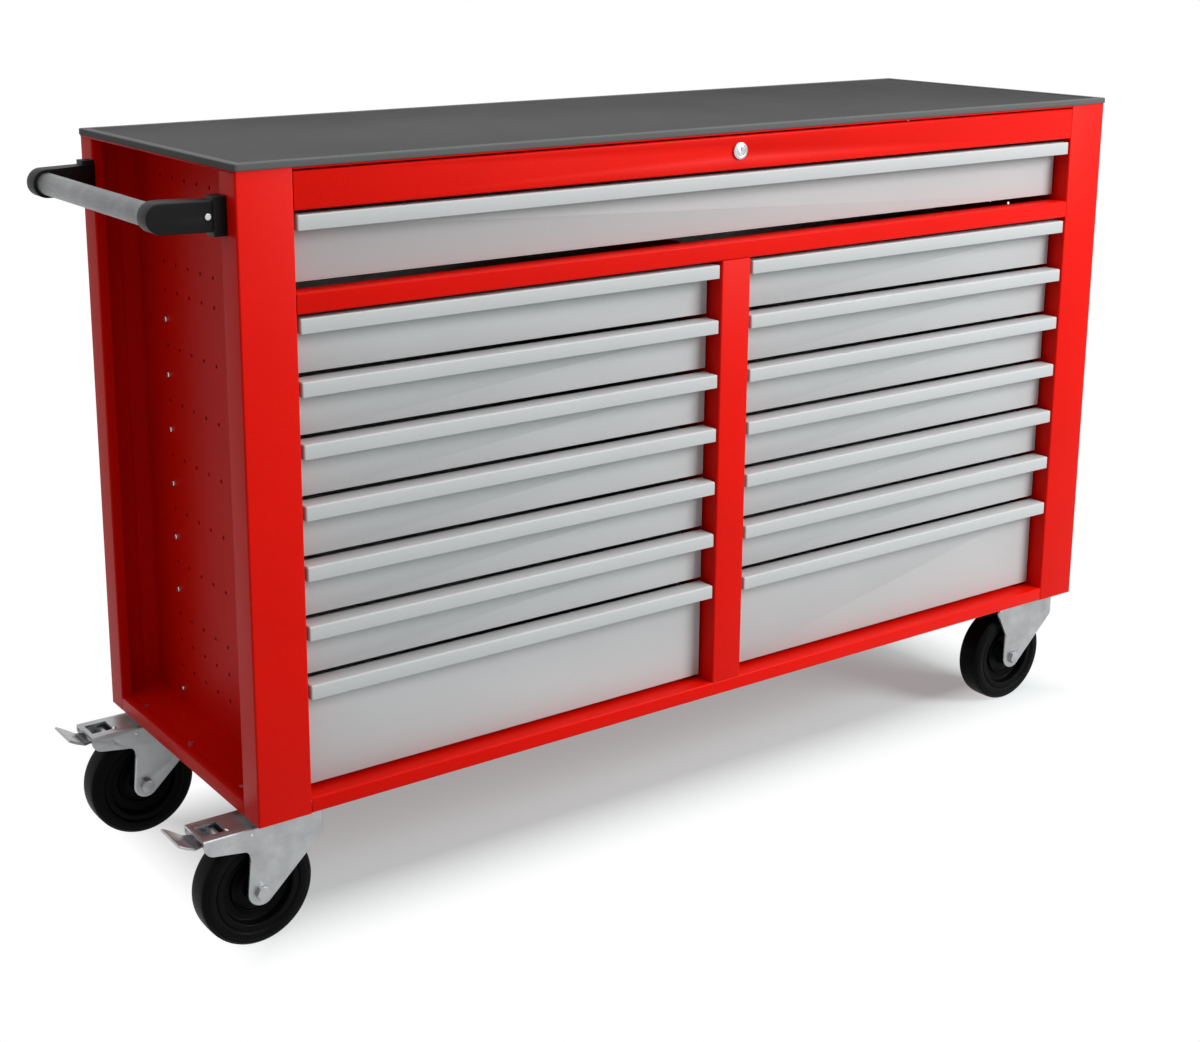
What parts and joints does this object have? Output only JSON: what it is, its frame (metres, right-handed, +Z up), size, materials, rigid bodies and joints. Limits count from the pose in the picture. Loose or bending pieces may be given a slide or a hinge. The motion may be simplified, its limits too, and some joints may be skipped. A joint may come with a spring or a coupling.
{
  "type": "rolling tool chest",
  "caption": "Long steel tool chest on swivel casters, with a full-width drawer over two banks of drawers, a push handle and perforated side recesses.",
  "frame": {"origin": "on the floor, under the middle of the overall box, which counts the push handle on the left, the mat's overhang and the lock", "axes": "+X to the right along the front, +Y from front to back, +Z up; the drawers open towards -Y"},
  "size_m": [1.5504, 0.465, 0.971],
  "materials": {
    "red_steel": "fine-textured red powder coat",
    "grey_steel": "fine-textured light grey powder coat",
    "mat_rubber": "matt dark grey ribbed rubber",
    "zinc_steel": "bright zinc plating",
    "runner_steel": "zinc-plated strip",
    "satin_tube": "satin anodised tube",
    "black_plastic": "black moulded plastic",
    "lock_chrome": "bright plated lock",
    "wheel_rubber": "black rubber tyre on a black core",
    "pedal_steel": "grey coated pedal"
  },
  "bodies": {
    "cabinet": {"top_panel": "red_steel", "bottom_panel": "red_steel", "back_panel": "red_steel", "left_side_panel": "red_steel", "right_side_panel": "red_steel", "front_posts": "red_steel", "rear_posts": "red_steel", "centre_post": "red_steel", "centre_divider": "red_steel", "upper_rail": "red_steel", "cross_rail": "red_steel", "bottom_rail": "red_steel", "worktop_mat": "mat_rubber", "cabinet_runners": "runner_steel", "handle_brackets": "black_plastic", "handle_bar": "satin_tube", "fasteners": "zinc_steel", "lock_body": "lock_chrome", "caster_plates": "zinc_steel"},
    "top_drawer": {"top_drawer_front": "grey_steel", "top_drawer_tray": "grey_steel"},
    "left_drawer_1": {"left_drawer_1_front": "grey_steel", "left_drawer_1_tray": "grey_steel"},
    "right_drawer_1": {"right_drawer_1_front": "grey_steel", "right_drawer_1_tray": "grey_steel"},
    "left_drawer_2": {"left_drawer_2_front": "grey_steel", "left_drawer_2_tray": "grey_steel"},
    "right_drawer_2": {"right_drawer_2_front": "grey_steel", "right_drawer_2_tray": "grey_steel"},
    "left_drawer_3": {"left_drawer_3_front": "grey_steel", "left_drawer_3_tray": "grey_steel"},
    "right_drawer_3": {"right_drawer_3_front": "grey_steel", "right_drawer_3_tray": "grey_steel"},
    "left_drawer_4": {"left_drawer_4_front": "grey_steel", "left_drawer_4_tray": "grey_steel"},
    "right_drawer_4": {"right_drawer_4_front": "grey_steel", "right_drawer_4_tray": "grey_steel"},
    "left_drawer_5": {"left_drawer_5_front": "grey_steel", "left_drawer_5_tray": "grey_steel"},
    "right_drawer_5": {"right_drawer_5_front": "grey_steel", "right_drawer_5_tray": "grey_steel"},
    "left_drawer_6": {"left_drawer_6_front": "grey_steel", "left_drawer_6_tray": "grey_steel"},
    "right_drawer_6": {"right_drawer_6_front": "grey_steel", "right_drawer_6_tray": "grey_steel"},
    "left_drawer_7": {"left_drawer_7_front": "grey_steel", "left_drawer_7_tray": "grey_steel"},
    "right_drawer_7": {"right_drawer_7_front": "grey_steel", "right_drawer_7_tray": "grey_steel"},
    "lock_plug": {"lock_plug": "lock_chrome"},
    "front_left_caster": {"front_left_caster_fork": "zinc_steel"},
    "front_left_wheel": {"front_left_wheel": "wheel_rubber"},
    "front_left_pedal": {"front_left_brake_pedal": "pedal_steel"},
    "rear_left_caster": {"rear_left_caster_fork": "zinc_steel"},
    "rear_left_wheel": {"rear_left_wheel": "wheel_rubber"},
    "rear_left_pedal": {"rear_left_brake_pedal": "pedal_steel"},
    "front_right_caster": {"front_right_caster_fork": "zinc_steel"},
    "front_right_wheel": {"front_right_wheel": "wheel_rubber"},
    "rear_right_caster": {"rear_right_caster_fork": "zinc_steel"},
    "rear_right_wheel": {"rear_right_wheel": "wheel_rubber"}
  },
  "joints": [
    {"name": "top_drawer_slide", "type": "slide", "parent": "cabinet", "child": "top_drawer", "axis": [0, -1, 0], "range_m": [0, 0.38]},
    {"name": "left_drawer_1_slide", "type": "slide", "parent": "cabinet", "child": "left_drawer_1", "axis": [0, -1, 0], "range_m": [0, 0.38]},
    {"name": "right_drawer_1_slide", "type": "slide", "parent": "cabinet", "child": "right_drawer_1", "axis": [0, -1, 0], "range_m": [0, 0.38]},
    {"name": "left_drawer_2_slide", "type": "slide", "parent": "cabinet", "child": "left_drawer_2", "axis": [0, -1, 0], "range_m": [0, 0.38]},
    {"name": "right_drawer_2_slide", "type": "slide", "parent": "cabinet", "child": "right_drawer_2", "axis": [0, -1, 0], "range_m": [0, 0.38]},
    {"name": "left_drawer_3_slide", "type": "slide", "parent": "cabinet", "child": "left_drawer_3", "axis": [0, -1, 0], "range_m": [0, 0.38]},
    {"name": "right_drawer_3_slide", "type": "slide", "parent": "cabinet", "child": "right_drawer_3", "axis": [0, -1, 0], "range_m": [0, 0.38]},
    {"name": "left_drawer_4_slide", "type": "slide", "parent": "cabinet", "child": "left_drawer_4", "axis": [0, -1, 0], "range_m": [0, 0.38]},
    {"name": "right_drawer_4_slide", "type": "slide", "parent": "cabinet", "child": "right_drawer_4", "axis": [0, -1, 0], "range_m": [0, 0.38]},
    {"name": "left_drawer_5_slide", "type": "slide", "parent": "cabinet", "child": "left_drawer_5", "axis": [0, -1, 0], "range_m": [0, 0.38]},
    {"name": "right_drawer_5_slide", "type": "slide", "parent": "cabinet", "child": "right_drawer_5", "axis": [0, -1, 0], "range_m": [0, 0.38]},
    {"name": "left_drawer_6_slide", "type": "slide", "parent": "cabinet", "child": "left_drawer_6", "axis": [0, -1, 0], "range_m": [0, 0.38]},
    {"name": "right_drawer_6_slide", "type": "slide", "parent": "cabinet", "child": "right_drawer_6", "axis": [0, -1, 0], "range_m": [0, 0.38]},
    {"name": "left_drawer_7_slide", "type": "slide", "parent": "cabinet", "child": "left_drawer_7", "axis": [0, -1, 0], "range_m": [0, 0.38]},
    {"name": "right_drawer_7_slide", "type": "slide", "parent": "cabinet", "child": "right_drawer_7", "axis": [0, -1, 0], "range_m": [0, 0.38]},
    {"name": "lock_turn", "type": "hinge", "parent": "cabinet", "child": "lock_plug", "pos_m": [0.0435, -0.2295, 0.938], "axis": [0, 1, 0], "range_deg": [0, 90]},
    {"name": "front_left_caster_swivel", "type": "hinge", "parent": "cabinet", "child": "front_left_caster", "pos_m": [-0.627, -0.1775, 0.163], "axis": [0, 0, 1], "continuous": true},
    {"name": "front_left_wheel_spin", "type": "hinge", "parent": "front_left_caster", "child": "front_left_wheel", "pos_m": [-0.672, -0.1775, 0.075], "axis": [0, 1, 0], "continuous": true},
    {"name": "front_left_pedal_press", "type": "hinge", "parent": "front_left_caster", "child": "front_left_pedal", "pos_m": [-0.717, -0.1775, 0.151], "axis": [0, -1, 0], "range_deg": [0, 15]},
    {"name": "rear_left_caster_swivel", "type": "hinge", "parent": "cabinet", "child": "rear_left_caster", "pos_m": [-0.627, 0.1785, 0.163], "axis": [0, 0, 1], "continuous": true},
    {"name": "rear_left_wheel_spin", "type": "hinge", "parent": "rear_left_caster", "child": "rear_left_wheel", "pos_m": [-0.672, 0.1785, 0.075], "axis": [0, 1, 0], "continuous": true},
    {"name": "rear_left_pedal_press", "type": "hinge", "parent": "rear_left_caster", "child": "rear_left_pedal", "pos_m": [-0.717, 0.1785, 0.151], "axis": [0, -1, 0], "range_deg": [0, 15]},
    {"name": "front_right_caster_swivel", "type": "hinge", "parent": "cabinet", "child": "front_right_caster", "pos_m": [0.714, -0.1775, 0.163], "axis": [0, 0, 1], "continuous": true},
    {"name": "front_right_wheel_spin", "type": "hinge", "parent": "front_right_caster", "child": "front_right_wheel", "pos_m": [0.669, -0.1775, 0.075], "axis": [0, 1, 0], "continuous": true},
    {"name": "rear_right_caster_swivel", "type": "hinge", "parent": "cabinet", "child": "rear_right_caster", "pos_m": [0.714, 0.1785, 0.163], "axis": [0, 0, 1], "continuous": true},
    {"name": "rear_right_wheel_spin", "type": "hinge", "parent": "rear_right_caster", "child": "rear_right_wheel", "pos_m": [0.669, 0.1785, 0.075], "axis": [0, 1, 0], "continuous": true}
  ]
}
